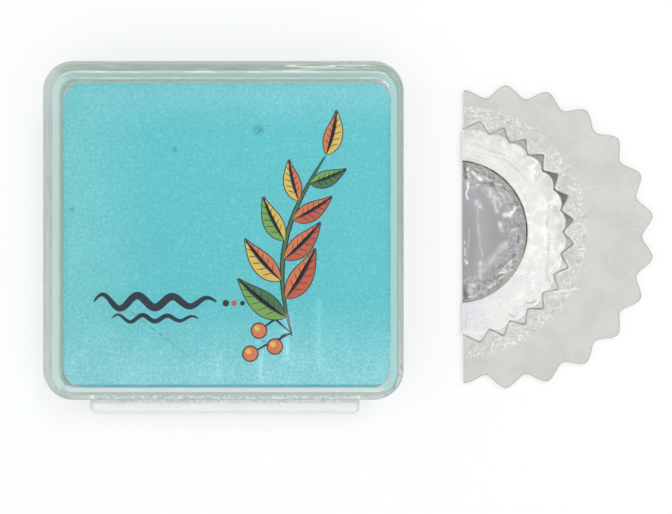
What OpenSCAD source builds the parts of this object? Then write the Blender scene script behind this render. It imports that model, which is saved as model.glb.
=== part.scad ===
// Bird call for the mouth, lying beside its clear hinged case.
// The case is closed, with its printed card face up and its hinge along the front edge.
// X runs to the right, Y to the back and Z up. The origin is on the table, at the middle of the set.

/* [Case] */
// Outside width of the case, along X
case_w = 50; // [44:0.5:60]
// Outside depth of the case without its hinge, along Y
case_d = 47; // [44:0.5:60]
// Height of the closed case
case_h = 9; // [8:0.5:14]
// Radius of the case's corners seen from above
case_r = 4.2; // [3.6:0.1:8]
// Thickness of the side walls
wall_t = 1.1; // [1:0.05:1.4]
// Thickness of the lid's top and the base's floor
plate_t = 1; // [0.8:0.1:1.3]
// Rounding of the outer edges
edge_r = 0.9; // [0.5:0.1:1]
// How far the case's inside sits towards the hinge, which leaves its wall thicker at the catches
inside_front = 0.4; // [0:0.05:0.4]
// How far the case's inside sits to the right
inside_right = 0.25; // [0:0.05:0.3]

/* [Tongue and catches] */
// Height of the base's tongue above the parting line
tongue_h = 2.6; // [1.5:0.1:2.6]
// Thickness of the tongue
tongue_t = 0.75; // [0.6:0.05:0.8]
// Clearance between the tongue and the lid's wall
tongue_gap = 0.15; // [0.14:0.01:0.25]
// Length of each catch bead
catch_len = 4; // [3:0.5:6]
// Distance between the two catches
catch_spacing = 28; // [20:1:34]
// How far a catch bead stands out of the tongue
catch_out = 0.13; // [0.08:0.01:0.13]

/* [Hinge] */
// Length of the hinge along X
hinge_len = 37.8; // [30:0.1:38]
// How far each hinge flange stands out of its wall
flange_d = 1.95; // [1.2:0.05:2.2]
// Thickness of each hinge flange
flange_t = 0.5; // [0.4:0.05:0.7]
// Thickness of the hinge web that joins the flanges
web_t = 0.35; // [0.25:0.05:0.4]

/* [Card] */
// Width of the printed card
card_w = 45.35; // [38:0.05:45.5]
// Depth of the printed card
card_d = 42.3; // [38:0.05:42.5]
// Thickness of the card
card_t = 0.35; // [0.2:0.05:0.5]
// Radius of the card's corners
card_r = 2.9; // [2.4:0.1:5]
// How far the loose card has slipped to the right and towards the hinge
card_slip = 0.29; // [0:0.01:0.3]
// Height of the step that frames the card, below the lid's top
step_h = 0.8; // [0.5:0.05:0.8]

/* [Skirt] */
// Radius to the tips of the skirt's scallops
skirt_tip_r = 21.5; // [20:0.1:22]
// Radius to the valleys between the scallops
skirt_root_r = 19.8; // [19:0.1:20]
// Tips along the outline, counting both corners
skirt_tips = 14; // [14:1:14]
// Angle from one tip to the next
skirt_pitch = 16.15; // [15.5:0.05:16.5]
// Radius of the half-round window in the skirt
skirt_window_r = 7.8; // [7:0.1:9]
// How far the skirt's straight edge lies inside the fold
skirt_gap = 0.2; // [0:0.05:0.4]
// Thickness of each film of the skirt
skirt_t = 0.2; // [0.15:0.01:0.3]

/* [Crown] */
// Radius to the tips of the crown's teeth
crown_tip_r = 15.85; // [15:0.05:16.5]
// Radius to the roots between the teeth
crown_root_r = 14.15; // [13.8:0.05:15]
// Distance from the crown's middle to its ends along the fold
crown_end = 14.4; // [14:0.1:15]
// Radius of the crown's half-round window
crown_window_r = 10; // [9.2:0.05:10.5]
// How far the window's middle lies beyond the fold
window_back = 0.9; // [0:0.1:1.2]
// Teeth that a whole crown has before it is folded
crown_teeth = 29; // [27:1:31]
// Thickness of the crown's metal
metal_t = 0.25; // [0.2:0.01:0.3]
// Thickness left at the tips of the teeth
tip_t = 0.1; // [0.06:0.01:0.15]
// Radius from which the teeth are coined thinner
coin_r = 14.4; // [13.8:0.1:15]
// How far the crown and the reed sit behind the skirt's middle line
crown_shift = 0.7; // [0:0.1:0.8]

/* [Reed] */
// Radius of the reed's half disc
reed_r = 17.7; // [16:0.1:18]
// Thickness of the reed
reed_t = 0.1; // [0.06:0.01:0.15]
// Room left round the reed's rim before the films meet
reed_gap = 0.1; // [0.05:0.05:0.3]

/* [Layout] */
// Gap between the case and the call
side_gap = 8.3; // [2:0.1:20]
// How far the call lies in front of the case's middle line
call_offset = 0.8; // [0:0.1:3]

/* [Hidden] */

$fn = 64;
hull_fn = 32;
cut = 1;
// The tongue's top outer edge is cut back by this much, to lead it into the lid.
lead_in = 0.2;

// The set's box runs from the case's left side to the skirt's last tips, and from the hinge web
// to the case's back. Its middle is the origin.
skirt_centre_x = -skirt_tip_r * cos(skirt_pitch * (skirt_tips - 1) / 2);
call_w = metal_t + skirt_gap + skirt_centre_x + skirt_tip_r * cos(skirt_pitch / 2);
set_w = case_w + side_gap + call_w;
hinge_d = flange_d + web_t;
case_x = (case_w - set_w) / 2;
case_y = hinge_d / 2;
fold_x = set_w / 2 - call_w + metal_t;
call_y = case_y - call_offset;
crown_y = call_y + crown_shift;

parting_z = case_h / 2;
lid_inner_z = case_h - plate_t;
tongue_d = wall_t + tongue_gap;
inner_d = tongue_d + tongue_t;
catch_z = parting_z + tongue_h / 2;

// Heights of the call's layers, from the table up: metal, film, reed, film, metal.
back_film_z = metal_t;
reed_z = back_film_z + skirt_t;
front_film_z = reed_z + reed_t;
front_metal_z = front_film_z + skirt_t;
call_h = front_metal_z + metal_t;

// Corner radius of a rounded outline that lies a distance inside the case's outline.
function inset_r(d) = case_r - d;

// A flat plate with round corners, standing on z = 0.
module plate(w, d, r, h) {
    linear_extrude(h) {
        square([w - 2 * r, d], center = true);
        square([w, d - 2 * r], center = true);
        for (x = [-1, 1], y = [-1, 1]) {
            translate([x * (w / 2 - r), y * (d / 2 - r)]) circle(r);
        }
    }
}

// A plate whose outline lies the distance d inside the case's outline, shifted as the inside is.
module inset_plate(d, h) {
    translate([inside_right, -inside_front, 0]) plate(case_w - 2 * d, case_d - 2 * d, inset_r(d), h);
}

// A ring between two of those outlines.
module inset_ring(outer_d, inner_d, h) {
    difference() {
        inset_plate(outer_d, h);
        translate([0, 0, -cut]) inset_plate(inner_d, h + 2 * cut);
    }
}

// One corner post of the case, rounded where it meets the table.
module corner_post(h) {
    rotate_extrude($fn = hull_fn) {
        square([case_r - edge_r, h]);
        translate([0, edge_r]) square([case_r, h - edge_r]);
        intersection() {
            translate([case_r - edge_r, edge_r]) circle(edge_r, $fn = hull_fn);
            translate([case_r - edge_r, 0]) square([edge_r, edge_r]);
        }
    }
}

// Half of the case as a block with rounded lower edges, open side up.
module half_block(h) {
    hull() {
        for (x = [-1, 1], y = [-1, 1]) {
            translate([x * (case_w / 2 - case_r), y * (case_d / 2 - case_r), 0]) corner_post(h);
        }
    }
}

// An open tray: half of the case, hollowed from above to leave its walls a thickness.
module tray(h, wall) {
    difference() {
        half_block(h);
        translate([0, 0, plate_t]) inset_plate(wall, h);
    }
}

// A hinge flange with rounded outer corners, from the front wall's face outward.
module hinge_flange() {
    translate([0, -case_d / 2, 0]) {
        linear_extrude(flange_t) {
            translate([-hinge_len / 2, flange_t - flange_d]) square([hinge_len, flange_d - flange_t + 0.2]);
            translate([flange_t - hinge_len / 2, -flange_d]) square([hinge_len - 2 * flange_t, flange_d]);
            for (x = [-1, 1]) {
                translate([x * (hinge_len / 2 - flange_t), flange_t - flange_d]) circle(flange_t);
            }
        }
    }
}

// The two catches' places along the back wall, at a distance in from the case's back.
module at_catches(inset, z) {
    for (x = [-1, 1]) {
        translate([x * catch_spacing / 2, case_d / 2 - inside_front - inset, z]) children();
    }
}

// The base: floor, walls, tongue with two catch beads, and the lower hinge flange.
module case_base() {
    color([0.84, 0.89, 0.87, 0.5])
    translate([case_x, case_y, 0]) {
        tray(parting_z, inner_d);
        translate([0, 0, parting_z - plate_t]) inset_ring(tongue_d, inner_d, plate_t + tongue_h - lead_in);
        translate([0, 0, parting_z]) inset_ring(tongue_d + lead_in, inner_d, tongue_h);
        at_catches(tongue_d, catch_z) {
            rotate([0, 90, 0]) cylinder(r = catch_out, h = catch_len, center = true);
        }
        translate([0, 0, parting_z - flange_t]) hinge_flange();
    }
}

// The lid: top, walls with two catch grooves, the step round the card, and the upper hinge flange.
module case_lid() {
    color([0.86, 0.91, 0.89, 0.5])
    translate([case_x, case_y, 0]) {
        difference() {
            translate([0, 0, case_h]) mirror([0, 0, 1]) tray(parting_z, wall_t);
            at_catches(wall_t, catch_z) {
                rotate([0, 90, 0]) cylinder(r = catch_out + 0.1, h = catch_len + 0.6, center = true);
            }
        }
        translate([0, 0, lid_inner_z - step_h]) inset_ring(wall_t - 0.2, inner_d, step_h + 0.2);
        translate([0, 0, parting_z]) hinge_flange();
    }
}

// The living hinge: a thin web across the outer faces of both flanges.
module hinge_web() {
    color([0.9, 0.93, 0.92, 0.6])
    translate([case_x, case_y - case_d / 2 - hinge_d, parting_z - flange_t]) {
        translate([flange_t - hinge_len / 2, 0, 0]) cube([hinge_len - 2 * flange_t, web_t, 2 * flange_t]);
    }
}

// The printed card, held face up under the lid's top.
module label_card() {
    color([0.42, 0.77, 0.8])
    translate([case_x + inside_right + card_slip, case_y - inside_front - card_slip, lid_inner_z - card_t]) {
        plate(card_w, card_d, card_r, card_t);
    }
}

// The right half of a disc, its flat side on the fold line.
module half_disc(r, h) {
    rotate([0, 0, -90]) rotate_extrude(angle = 180) square([r, h]);
}

// Radius of the skirt's outline at an angle: a triangle wave whose tips and valleys are rounded.
wave_round = 0.7;
function skirt_wave(a) = acos(wave_round * cos(360 * a / skirt_pitch + 180));
function skirt_r(a) =
    let (low = acos(wave_round), part = (skirt_wave(a) - low) / (180 - 2 * low))
    skirt_tip_r - (skirt_tip_r - skirt_root_r) * part;

// One film of the skirt: scalloped all round, cut straight at the fold, with a half-round window.
// Beyond the reed it is thicker by half the reed's thickness, so that the two films meet there.
module skirt_film() {
    steps = 10;
    half_span = skirt_pitch * (skirt_tips - 1) / 2;
    outline = [
        for (i = [0 : steps * (skirt_tips - 1)])
            let (a = i * skirt_pitch / steps - half_span, r = skirt_r(a))
            [skirt_centre_x + r * cos(a), r * sin(a)]
    ];
    difference() {
        linear_extrude(skirt_t + reed_t / 2) polygon(outline);
        translate([-skirt_gap, crown_shift, skirt_t]) cylinder(r = reed_r + reed_gap, h = cut);
        translate([-skirt_gap, crown_shift, -cut]) cylinder(r = skirt_window_r, h = 2 * cut);
    }
}

// The film that lies on the table side.
module skirt_back() {
    color([0.82, 0.83, 0.8, 0.85])
    translate([fold_x + skirt_gap, call_y, back_film_z]) skirt_film();
}

// The reed: a half disc of thin rubber between the films, which the windows leave free.
module reed() {
    color([0.67, 0.67, 0.67])
    translate([fold_x, crown_y, reed_z]) half_disc(reed_r, reed_t);
}

// The film that lies on the upper side.
module skirt_front() {
    color([0.84, 0.84, 0.81, 0.85])
    translate([fold_x + skirt_gap, call_y, front_metal_z]) mirror([0, 0, 1]) skirt_film();
}

// One leaf of the crown: half a toothed ring, its teeth coined thinner towards their tips.
module crown_leaf() {
    tooth = 360 / crown_teeth;
    last = 2 * floor(90 / tooth) - 1;
    points = [
        [0, -crown_end],
        for (i = [-last : last])
            let (a = i * tooth / 2, r = (i % 2 == 0) ? crown_root_r : crown_tip_r)
            [r * cos(a), r * sin(a)],
        [0, crown_end],
    ];
    past_tip = 0.5;
    past_t = metal_t - (metal_t - tip_t) * (crown_tip_r + past_tip - coin_r) / (crown_tip_r - coin_r);
    coined = [[0, 0], [crown_tip_r + past_tip, 0], [crown_tip_r + past_tip, past_t], [coin_r, metal_t], [0, metal_t]];
    difference() {
        intersection() {
            linear_extrude(metal_t) polygon(points);
            rotate_extrude() polygon(coined);
        }
        translate([-window_back, 0, -cut]) cylinder(r = crown_window_r, h = metal_t + 2 * cut);
    }
}

// The fold that joins the leaves: a tight bend of sheet round the films' edge.
module crown_fold() {
    window_end = sqrt(crown_window_r * crown_window_r - window_back * window_back);
    fold_len = crown_end - window_end;
    translate([0, window_end, 0]) {
        for (z = [metal_t, call_h - metal_t]) {
            intersection() {
                translate([0, 0, z]) rotate([-90, 0, 0]) cylinder(r = metal_t, h = fold_len);
                translate([-metal_t, 0, 0]) cube([metal_t, fold_len, call_h]);
            }
        }
        translate([-metal_t, 0, metal_t]) cube([metal_t, fold_len, call_h - 2 * metal_t]);
    }
}

// The crown: one stamped ring, folded in half to clamp the films and the reed.
module crown_frame() {
    color([0.9, 0.9, 0.87])
    translate([fold_x, crown_y, 0]) {
        translate([0, 0, metal_t]) mirror([0, 0, 1]) crown_leaf();
        translate([0, 0, front_metal_z]) crown_leaf();
        crown_fold();
        mirror([0, 1, 0]) crown_fold();
    }
}

case_base();
case_lid();
hinge_web();
label_card();
skirt_back();
reed();
skirt_front();
crown_frame();
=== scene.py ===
"""A bird call for the mouth and its clear hinged case, seen from straight above on a white ground.

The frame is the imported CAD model. Sizes below are in millimetres in that frame: X to the right,
Y to the back, Z up from the table. Each piece is turned into metres where its mesh is made.
"""

import math

import bpy
import numpy as np
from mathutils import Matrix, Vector


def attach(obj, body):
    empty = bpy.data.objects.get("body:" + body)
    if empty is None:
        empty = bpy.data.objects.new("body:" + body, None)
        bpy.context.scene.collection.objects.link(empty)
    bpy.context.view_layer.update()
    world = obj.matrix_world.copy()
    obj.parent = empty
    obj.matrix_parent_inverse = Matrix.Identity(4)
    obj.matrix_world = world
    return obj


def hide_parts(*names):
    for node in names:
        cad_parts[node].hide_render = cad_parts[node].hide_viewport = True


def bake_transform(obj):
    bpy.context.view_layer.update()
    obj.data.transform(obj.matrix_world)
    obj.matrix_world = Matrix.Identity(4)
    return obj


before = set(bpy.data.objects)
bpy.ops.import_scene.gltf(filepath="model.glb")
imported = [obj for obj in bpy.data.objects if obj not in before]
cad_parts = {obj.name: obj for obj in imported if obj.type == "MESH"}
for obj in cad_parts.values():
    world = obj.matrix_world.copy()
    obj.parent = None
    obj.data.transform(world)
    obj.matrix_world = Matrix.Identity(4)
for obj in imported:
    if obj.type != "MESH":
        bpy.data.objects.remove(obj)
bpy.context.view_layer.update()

MM = 0.001
# Noise scales are given as the size of a blotch: PER_MM / size.
PER_MM = 1000.0
# The lattices of random heights repeat after this many values.
LATTICE = 64

# The case's middle, half width and half depth, and its corner radius.
CASE_X, CASE_Y = -17.796, 1.15
HALF_W, HALF_D, CASE_R = 25.0, 23.5, 4.2
# How far the case's inside sits to the right and towards the hinge.
INSIDE = np.array([0.25, -0.4])
# The call's fold line, the middle of its skirt and the middle of its crown, window and reed.
FOLD_X, SKIRT_X, SKIRT_Y, CROWN_Y = 15.754, 21.509, 0.35, 1.05


def linear(code):
    """sRGB hex code to linear RGBA: c / 12.92 up to 0.04045, ((c + 0.055) / 1.055) ^ 2.4 above."""
    c = np.array([int(code[i:i + 2], 16) for i in (1, 3, 5)]) / 255
    return (*np.where(c <= 0.04045, c / 12.92, ((c + 0.055) / 1.055) ** 2.4), 1.0)


def adder(tree):
    """A function that adds a node to the tree.

    Its inputs are values, sockets, or nodes whose first enabled output is linked."""
    def node(kind, inputs=None, **settings):
        made = tree.nodes.new("ShaderNode" + kind)
        for key, value in settings.items():
            setattr(made, key, value)
        for key, value in (inputs or {}).items():
            if isinstance(value, bpy.types.Node):
                value = next(o for o in value.outputs if o.enabled)
            if isinstance(value, bpy.types.NodeSocket):
                tree.links.new(value, made.inputs[key])
            else:
                made.inputs[key].default_value = value
        return made
    return node


def material(name):
    """An empty material and the function that adds its nodes."""
    made = bpy.data.materials.new(name)
    made.use_nodes = True
    made.node_tree.nodes.clear()
    return made, adder(made.node_tree)


def mix(node, factor, a, b, blend="MIX"):
    """Two colours mixed, each a hex code, a node or a socket."""
    a, b = (linear(c) if isinstance(c, str) else c for c in (a, b))
    return node("Mix", {0: factor, 6: a, 7: b}, data_type="RGBA", blend_type=blend)


def ease(node, value, low, high, start=0.0, end=1.0):
    """A smooth step from start to end as the value goes from low to high."""
    inputs = {"Value": value, "From Min": low, "From Max": high, "To Min": start, "To Max": end}
    return node("MapRange", inputs, interpolation_type="SMOOTHSTEP")


def noise(node, where, size, detail=2.0, rough=0.5):
    """A noise texture whose blotches are that many millimetres wide."""
    scale = PER_MM / size
    return node("TexNoise", {"Vector": where, "Scale": scale, "Detail": detail, "Roughness": rough})


def pair_of(operation):
    """A function that puts two values through a Math node."""
    return lambda node, a, b: node("Math", {0: a, 1: b}, operation=operation)


times, plus, minus, greater = (pair_of(name) for name in ("MULTIPLY", "ADD", "SUBTRACT", "MAXIMUM"))


def within(node, value, middle, width):
    """1 where a value lies no further than a width from a middle, and 0 elsewhere."""
    return node("Math", {0: value, 1: middle, 2: width}, operation="COMPARE")


def creases(node, where, size, width):
    """Thin crooked lines where a noise crosses its middle: 1 on a line, 0 at that width or more."""
    off = minus(node, noise(node, where, size, 3.0, 0.6), 0.5)
    return ease(node, node("Math", {0: off}, operation="ABSOLUTE"), 0.0, width, 1.0, 0.0)


def layered(node, tone, *coats):
    """A colour with others laid over it in turn, each given as (share, colour)."""
    for share, over in coats:
        tone = mix(node, share, tone, over)
    return tone


def field(node, name, output="Fac"):
    """A value that the mesh holds at each point."""
    return node("Attribute", attribute_name=name).outputs[output]


def own_place(node):
    """The place of a point in the frame, in metres."""
    return node("TexCoord").outputs["Object"]


def drawn_out(node, where, *scale):
    """A place scaled along X, Y and Z: noise is drawn out along the axis with the smallest number."""
    return node("Mapping", {"Vector": where, "Scale": scale})


def bump(node, height, strength, distance):
    """A bump from a height that goes from 0 to 1 over a distance in mm."""
    return node("Bump", {"Height": height, "Strength": strength, "Distance": distance * MM})


def surface(node, shader):
    """The material's output."""
    node("OutputMaterial", {"Surface": shader})


def step(value, low, high):
    """The smooth step 3t^2 - 2t^3, for t from 0 at low to 1 at high."""
    t = np.clip((value - low) / (high - low), 0, 1)
    return t * t * (3 - 2 * t)


def bell(value, middle, width):
    """exp(-((value - middle) / width)^2)."""
    return np.exp(-((value - middle) / width) ** 2)


def ripple(x, y, size, seed):
    """Smooth random heights from -1 to 1: values on a lattice of that size in mm, eased between."""
    table = np.random.default_rng(seed).uniform(-1, 1, (LATTICE, LATTICE))
    u, v = x / size, y / size
    i, j = np.floor(u).astype(int), np.floor(v).astype(int)
    p, q = step(u - i, 0, 1), step(v - j, 0, 1)
    i, j, i1, j1 = i % LATTICE, j % LATTICE, (i + 1) % LATTICE, (j + 1) % LATTICE
    near, far = (table[i, c] * (1 - p) + table[i1, c] * p for c in (j, j1))
    return near * (1 - q) + far * q


def trace(x, y, x0, y0, x1, y1, width):
    """Strength of a line drawn from one point to another: exp(-(distance / width)^2)."""
    dx, dy = x1 - x0, y1 - y0
    t = np.clip(((x - x0) * dx + (y - y0) * dy) / (dx ** 2 + dy ** 2), 0, 1)
    return np.exp(-((x - x0 - t * dx) ** 2 + (y - y0 - t * dy) ** 2) / width ** 2)


def rounded(corners, arc):
    """A polyline of (x, y, radius) with each corner turned into an arc that touches both its sides.

    A point just past each end of the arc keeps the shading of the flat sides flat."""
    support, path = 0.03, []
    for k, (x, y, r) in enumerate(corners):
        here = np.array([x, y], float)
        if r == 0 or k in (0, len(corners) - 1):
            path.append(here)
            continue
        a = np.array(corners[k - 1][:2], float) - here
        b = np.array(corners[k + 1][:2], float) - here
        a, b = a / np.linalg.norm(a), b / np.linalg.norm(b)
        half = math.acos(np.clip(a @ b, -1, 1)) / 2
        reach = r / math.tan(half)
        middle = here + (a + b) / np.linalg.norm(a + b) * r / math.sin(half)
        path.append(here + a * (reach + support))
        for t in np.linspace(0, 1, arc):
            along = (here + a * reach - middle) * (1 - t) + (here + b * reach - middle) * t
            path.append(middle + along / np.linalg.norm(along) * r)
        path.append(here + b * (reach + support))
    return np.array(path)


def circle(count):
    """Points round a circle of radius 1."""
    turn = np.linspace(0, 2 * np.pi, count + 1)[:-1]
    return np.column_stack([np.cos(turn), np.sin(turn)])


def slab(top, bottom):
    """A closed sheet: two grids of points with the same rows and columns, and the wall round them."""
    rows, columns = top.shape[:2]
    i = np.arange(rows * columns).reshape(rows, columns)
    face = np.stack([i[:-1, :-1], i[1:, :-1], i[1:, 1:], i[:-1, 1:]], -1).reshape(-1, 4)
    rim = np.concatenate([i[0, :-1], i[:-1, -1], i[-1, :0:-1], i[:0:-1, 0]])
    after = np.roll(rim, -1)
    wall = np.stack([rim, after, after + i.size, rim + i.size], -1)
    points = np.concatenate([top.reshape(-1, 3), bottom.reshape(-1, 3)])
    return points, np.concatenate([face, face[:, ::-1] + i.size, wall]).tolist()


def loft(loops):
    """A closed solid through loops with the same number of points, with a flat face on each end."""
    i = np.arange(loops.shape[0] * loops.shape[1]).reshape(loops.shape[:2])
    j = np.roll(i, -1, 1)
    sides = np.stack([i[:-1], i[1:], j[1:], j[:-1]], -1).reshape(-1, 4).tolist()
    return loops.reshape(-1, 3), sides + [i[0].tolist(), i[-1, ::-1].tolist()]


def prism(outline, low, high):
    """A flat plate: an outline of (x, y) points between two heights."""
    return loft(np.stack([np.column_stack([outline, np.full(len(outline), z)]) for z in (low, high)]))


def outward(points, faces):
    """The faces, turned over if they point inward: six times the volume is the sum of a . (b x c)."""
    fans = np.array([(f[0], f[k], f[k + 1]) for f in faces for k in range(1, len(f) - 1)])
    a, b, c = (points[fans[:, k]] for k in range(3))
    return faces if np.einsum("ij,ij->", a, np.cross(b, c)) > 0 else [f[::-1] for f in faces]


def put(name, data):
    """A new object in the scene, at the origin."""
    made = bpy.data.objects.new(name, data)
    bpy.context.scene.collection.objects.link(made)
    return made


def piece(name, parts, materials, body, stands_for=(), fields=None, sharp=35):
    """One object of closed parts (points in mm, faces, and the number of their material) on a CAD body.

    Fields are named values per point, which its materials read."""
    points, faces, numbers = [], [], []
    for part_points, part_faces, *number in parts:
        first = sum(len(p) for p in points)
        for f in outward(part_points, part_faces):
            faces.append([first + i for i in f])
            numbers.append(number[0] if number else 0)
        points.append(part_points)
    mesh = bpy.data.meshes.new(name)
    mesh.from_pydata((np.concatenate(points) * MM).tolist(), [], faces)
    for m in materials:
        mesh.materials.append(m)
    mesh.polygons.foreach_set("material_index", numbers)
    for key, values in (fields or {}).items():
        kind = "FLOAT_VECTOR" if values.ndim == 2 else "FLOAT"
        mesh.attributes.new(key, kind, "POINT").data.foreach_set(
            "vector" if values.ndim == 2 else "value", values.astype(np.float32).ravel())
    mesh.shade_smooth()
    mesh.set_sharp_from_angle(angle=math.radians(sharp))
    made = put(name, mesh)
    if body:
        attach(made, body)
    if stands_for:
        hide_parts(*stands_for)
    return made


# ---- The studio
# A white paper ground, a camera looking straight down, and soft light from all round with a
# large soft box at the upper right. The ground keeps the soft shadows.
CAMERA, LENS, SENSOR = (-2.19, -2.54, 300.0), 112.8, 36
GROUND_R, GROUND_Z = 2000, -0.05
camera = put("camera", bpy.data.cameras.new("camera"))
camera.data.lens, camera.data.sensor_width = LENS, SENSOR
camera.location = [c * MM for c in CAMERA]
bpy.context.scene.camera = camera
bpy.context.scene.view_settings.view_transform = "Standard"

paper, node = material("white_ground")
path = node("LightPath")
seen = greater(node, path.outputs["Is Camera Ray"], path.outputs["Is Glossy Ray"])
lit = node("BsdfDiffuse", {"Color": linear("#f7fafa")})
glow = node("Emission", {"Color": linear("#ffffff"), "Strength": 1.06})
surface(node, node("MixShader", {0: times(node, seen, 0.55), 1: lit, 2: glow}))
rim = circle(64) * GROUND_R * MM
ground_mesh = bpy.data.meshes.new("ground")
ground_mesh.from_pydata([(x, y, GROUND_Z * MM) for x, y in rim], [], [list(range(len(rim)))])
ground_mesh.materials.append(paper)
ground = put("ground", ground_mesh)

world = bpy.data.worlds.new("studio")
bpy.context.scene.world = world
world.use_nodes = True
world.node_tree.nodes.clear()
node = adder(world.node_tree)
way = node("TexCoord").outputs["Generated"]
height = node("SeparateXYZ", {0: way}).outputs["Z"]
# The room is brighter to the front left and darker to the back right.
aside = node("VectorMath", {0: way, 1: (0.45, 0.89, 0.0)}, operation="DOT_PRODUCT").outputs["Value"]
# The camera keeps the light off the patch of ceiling that the lid mirrors.
overhead = node("VectorMath", {0: way, 1: (-0.054, 0.013, 0.998)}, operation="DISTANCE").outputs["Value"]
sky = layered(
    node, mix(node, ease(node, height, 0.0, 0.9), "#d6d7d6", "#fafbfc"),
    (ease(node, aside, 0.12, 0.6, 0.0, 0.75), "#84888a"),
    (ease(node, aside, -0.1, -0.6, 0.0, 0.6), "#ffffff"),
    (ease(node, overhead, 0.09, 0.14, 0.85, 0.0), "#565b5d"))
shown = mix(node, node("LightPath").outputs["Is Camera Ray"], sky, "#ffffff")
node("OutputWorld", {"Surface": node("Background", {"Color": shown, "Strength": 1.04})})


def soft_box(name, place, aim, width, depth, watts, mirrored):
    """A rectangular lamp at a place, facing another, seen only in reflections or never in them."""
    lamp = bpy.data.lights.new(name, "AREA")
    lamp.shape, lamp.size, lamp.size_y, lamp.energy = "RECTANGLE", width * MM, depth * MM, watts
    made = put(name, lamp)
    made.location = [c * MM for c in place]
    made.rotation_euler = (Vector(aim) - Vector(place)).to_track_quat("-Z", "Y").to_euler()
    made.visible_camera, made.visible_glossy, made.visible_diffuse = False, mirrored, not mirrored


soft_box("key", (200, 260, 430), (0, 0, 0), 180, 180, 0.72, False)
soft_box("over_the_call", (72, 0, 300), (72, 0, 0), 50, 70, 0.0044, True)
# Four narrow window bars, whose reflections lie as faint upright streaks on the lid.
for bar, (x, y, width, depth, watts) in enumerate([
        (-34.6, -32.3, 1.6, 7.0, 0.00004), (-22.8, -32.6, 1.2, 9.0, 0.00006),
        (-15.4, -24.8, 1.8, 14.0, 0.00014), (-6.6, -23.1, 1.4, 17.0, 0.00008)]):
    soft_box(f"bar_{bar}", (x, y, 300), (x, y, 0), width, depth, watts, True)


# ---- The lid and the base
# Each half of the case is one injection moulding in clear polystyrene: a shallow tray with a
# rounded outer edge. The base's tongue plugs into the lid, and two beads snap into its grooves.
PARTING, CATCH_Z, CATCH_X, CATCH_HALF = 4.5, 5.8, 14.0, 2.0
LID_TOP, LID_CEILING, STEP_Z = 9.0, 8.0, 7.2
WALL, TONGUE, INNER, MIDDLE = 1.1, 1.25, 2.0, 3.2
FLOOR, TONGUE_TOP, BASE_RIM = 1.0, 7.1, 4.47
# How far the lid's grooves and the base's beads stand out, half the length of the hinge's web, and
# the heights of the flanges.
GROOVE, BEAD, HINGE_HALF = 0.23, 0.13, 18.4
LID_FLANGE, BASE_FLANGE = (4.515, 5.0), (4.0, 4.485)


def case_loop(inset):
    """A rounded rectangle at a distance inside the case's outline."""
    r, corner, side = max(CASE_R - inset, 0.5), 13, 60
    w, d = HALF_W - inset - r, HALF_D - inset - r
    loop = []
    for k, (sx, sy) in enumerate([(1, 1), (-1, 1), (-1, -1), (1, -1)]):
        turn = np.linspace(k * 90, k * 90 + 90, corner) * math.pi / 180
        arc = np.column_stack([sx * w + r * np.cos(turn), sy * d + r * np.sin(turn)])
        nx, ny = [(-1, 1), (-1, -1), (1, -1), (1, 1)][k]
        start = (nx * w + r * math.cos(turn[-1]), ny * d + r * math.sin(turn[-1]))
        share = np.linspace(0, 1, side + 2)[1:-1, None]
        loop += [arc, arc[-1] * (1 - share) + np.array(start) * share]
    return np.concatenate(loop) + INSIDE * step(inset, 0.93, 0.99)


def moulding(profile, wall, out):
    """Half of the case: case loops along a profile of (inset, z).

    The catches, beads or grooves, stand out of the back wall's face at inset `wall`, by
    sqrt(out^2 - (z - CATCH_Z)^2)."""
    loops = []
    for inset, z in profile:
        loop = case_loop(inset)
        if abs(inset - wall) < 0.01 and abs(z - CATCH_Z) < out:
            near = (np.abs(np.abs(loop[:, 0]) - CATCH_X) < CATCH_HALF) & (loop[:, 1] > 0)
            loop[near, 1] += math.sqrt(out ** 2 - (z - CATCH_Z) ** 2)
        loops.append(np.column_stack([loop + [CASE_X, CASE_Y], np.full(len(loop), z)]))
    return loft(np.stack(loops))


def with_catch(profile, wall, out):
    """The profile with more points across the catch, on its straight run at that inset."""
    for k in range(len(profile) - 1):
        (a, za), (b, zb) = profile[k], profile[k + 1]
        upright = abs(a - wall) < 0.01 and abs(b - wall) < 0.01
        if upright and min(za, zb) < CATCH_Z - out and max(za, zb) > CATCH_Z + out:
            heights = CATCH_Z + out * np.cos(np.linspace(0, np.pi, 9)) * (1 if za > zb else -1)
            more = np.column_stack([np.full(9, wall), heights])
            return np.concatenate([profile[:k + 1], more, profile[k + 1:]])
    return profile


def flatness(profile):
    """1 where a moulding's profile runs level, 0 where it stands upright."""
    runs = np.diff(profile, axis=0)
    flat = np.abs(runs[:, 0]) / np.hypot(*runs.T)
    return (np.append(flat, flat[-1]) + np.insert(flat, 0, flat[0])) / 2


def flange(low, high):
    """A hinge flange with rounded outer corners: a crinkled sheet from the wall outward.

    With it comes how whitened its points are: most near the wall, less at its outer edge and its
    ends; at the ends it stands for painted glints."""
    half, reach, corner = 18.9, 1.95, 0.5
    ends = np.linspace(0, 1, 9)[:-1] ** 2 * corner
    x = np.concatenate([ends - half, np.linspace(corner - half, half - corner, 200), (half - ends)[::-1]])
    into = np.clip(corner - (half - np.abs(x)), 0, corner)
    front = reach - corner + np.sqrt(corner ** 2 - into ** 2)
    out = 0.01 + (front - 0.01) * np.linspace(0, 1, 16)[:, None]
    x = x + 0 * out
    near = 1 - step(out, 0.3, 1.0) + 0.3 * step(out, reach - 0.3, reach - 0.15)
    # Painted glints at the flange's ends.
    near = np.maximum(near, 0.7 * bell(np.abs(x), half, 0.45))
    crinkle = (0.03 * ripple(x, out, 0.5, 61) + 0.02 * ripple(x, out, 0.25, 62)) * (0.2 + near)
    faces = high - 0.06 + crinkle, low + 0 * out
    grids = [np.stack([x + CASE_X, CASE_Y - HALF_D - out, z], -1) for z in faces]
    return slab(*grids), np.concatenate([near.ravel()] * 2)


clear, node = material("clear_polystyrene")
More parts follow.
